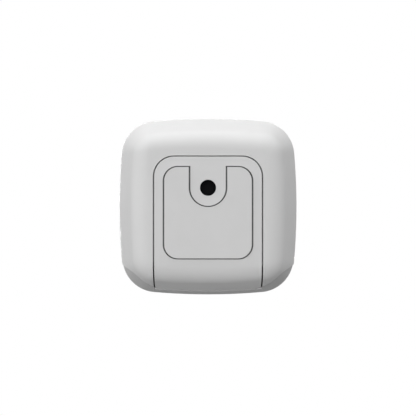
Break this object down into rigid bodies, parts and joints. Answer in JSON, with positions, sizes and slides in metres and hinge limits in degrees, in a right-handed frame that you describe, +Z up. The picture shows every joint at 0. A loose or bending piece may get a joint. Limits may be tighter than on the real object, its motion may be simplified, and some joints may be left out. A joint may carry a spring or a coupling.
{
  "type": "thermostat room sensor",
  "caption": "Small pillow-shaped wireless room sensor for a thermostat, which slides on rails onto its battery door, a wall plate with an adhesive pad and a screw hole.",
  "frame": {"origin": "middle of the adhesive pad's outer face, on the wall plane", "axes": "+Z up, +Y into the wall, so the front faces -Y, +X to the right of someone facing the front"},
  "size_m": [0.043, 0.0224, 0.0426],
  "materials": {
    "shell_plastic": "fine satin moulding",
    "cover_plastic": "fine satin moulding",
    "pad_foam": "matte foam tape",
    "holder_plastic": "black moulding",
    "spacer_plastic": "natural moulding",
    "button_plastic": "black moulding",
    "lens_plastic": "milky, soft gloss",
    "clear_plastic": "clear",
    "filter_dark": "dark polished filter",
    "chip_plastic": "moulded chip",
    "led_body": "clear resin",
    "board_laminate": "solder mask",
    "screw_steel": "zinc plated",
    "cell_steel": "nickel plated",
    "cell_fill": "nickel plated",
    "contact_metal": "plated spring strip",
    "can_metal": "drawn sheet",
    "antenna_ceramic": "fired, plain",
    "capacitor_body": "fired, plain"
  },
  "bodies": {
    "wall_plate": {"battery_door": "shell_plastic", "adhesive_pad": "pad_foam"},
    "sensor_body": {"rear_housing": "shell_plastic", "front_cover": "cover_plastic", "housing_screws": "screw_steel", "battery_holder": "holder_plastic", "cell_can": "cell_steel", "cell_gasket": "holder_plastic", "cell_cap": "cell_fill", "negative_contact": "contact_metal", "positive_contact": "contact_metal", "circuit_board": "board_laminate", "pir_spacer": "spacer_plastic", "pir_base": "can_metal", "pir_can": "can_metal", "pir_window": "filter_dark", "pir_pins": "contact_metal", "pir_lens": "lens_plastic", "lens_clamp": "spacer_plastic", "light_pipe": "clear_plastic", "status_led": "led_body", "switch_base": "holder_plastic", "switch_plate": "can_metal", "switch_dome": "contact_metal", "radio_shield": "can_metal", "radio_chip": "chip_plastic", "crystal": "can_metal", "chip_antenna": "antenna_ceramic", "thermistor": "chip_plastic", "bulk_capacitor": "capacitor_body", "chip_capacitors": "capacitor_body", "chip_resistors": "chip_plastic"},
    "button": {"pairing_button": "button_plastic"}
  },
  "joints": [
    {"name": "body_slide", "type": "slide", "parent": "wall_plate", "child": "sensor_body", "axis": [0, 0, 1], "range_m": [0, 0.022]},
    {"name": "button_press", "type": "slide", "parent": "sensor_body", "child": "button", "axis": [0, -1, 0], "range_m": [0, 0.00025], "stiffness_N_per_m": 6400}
  ]
}
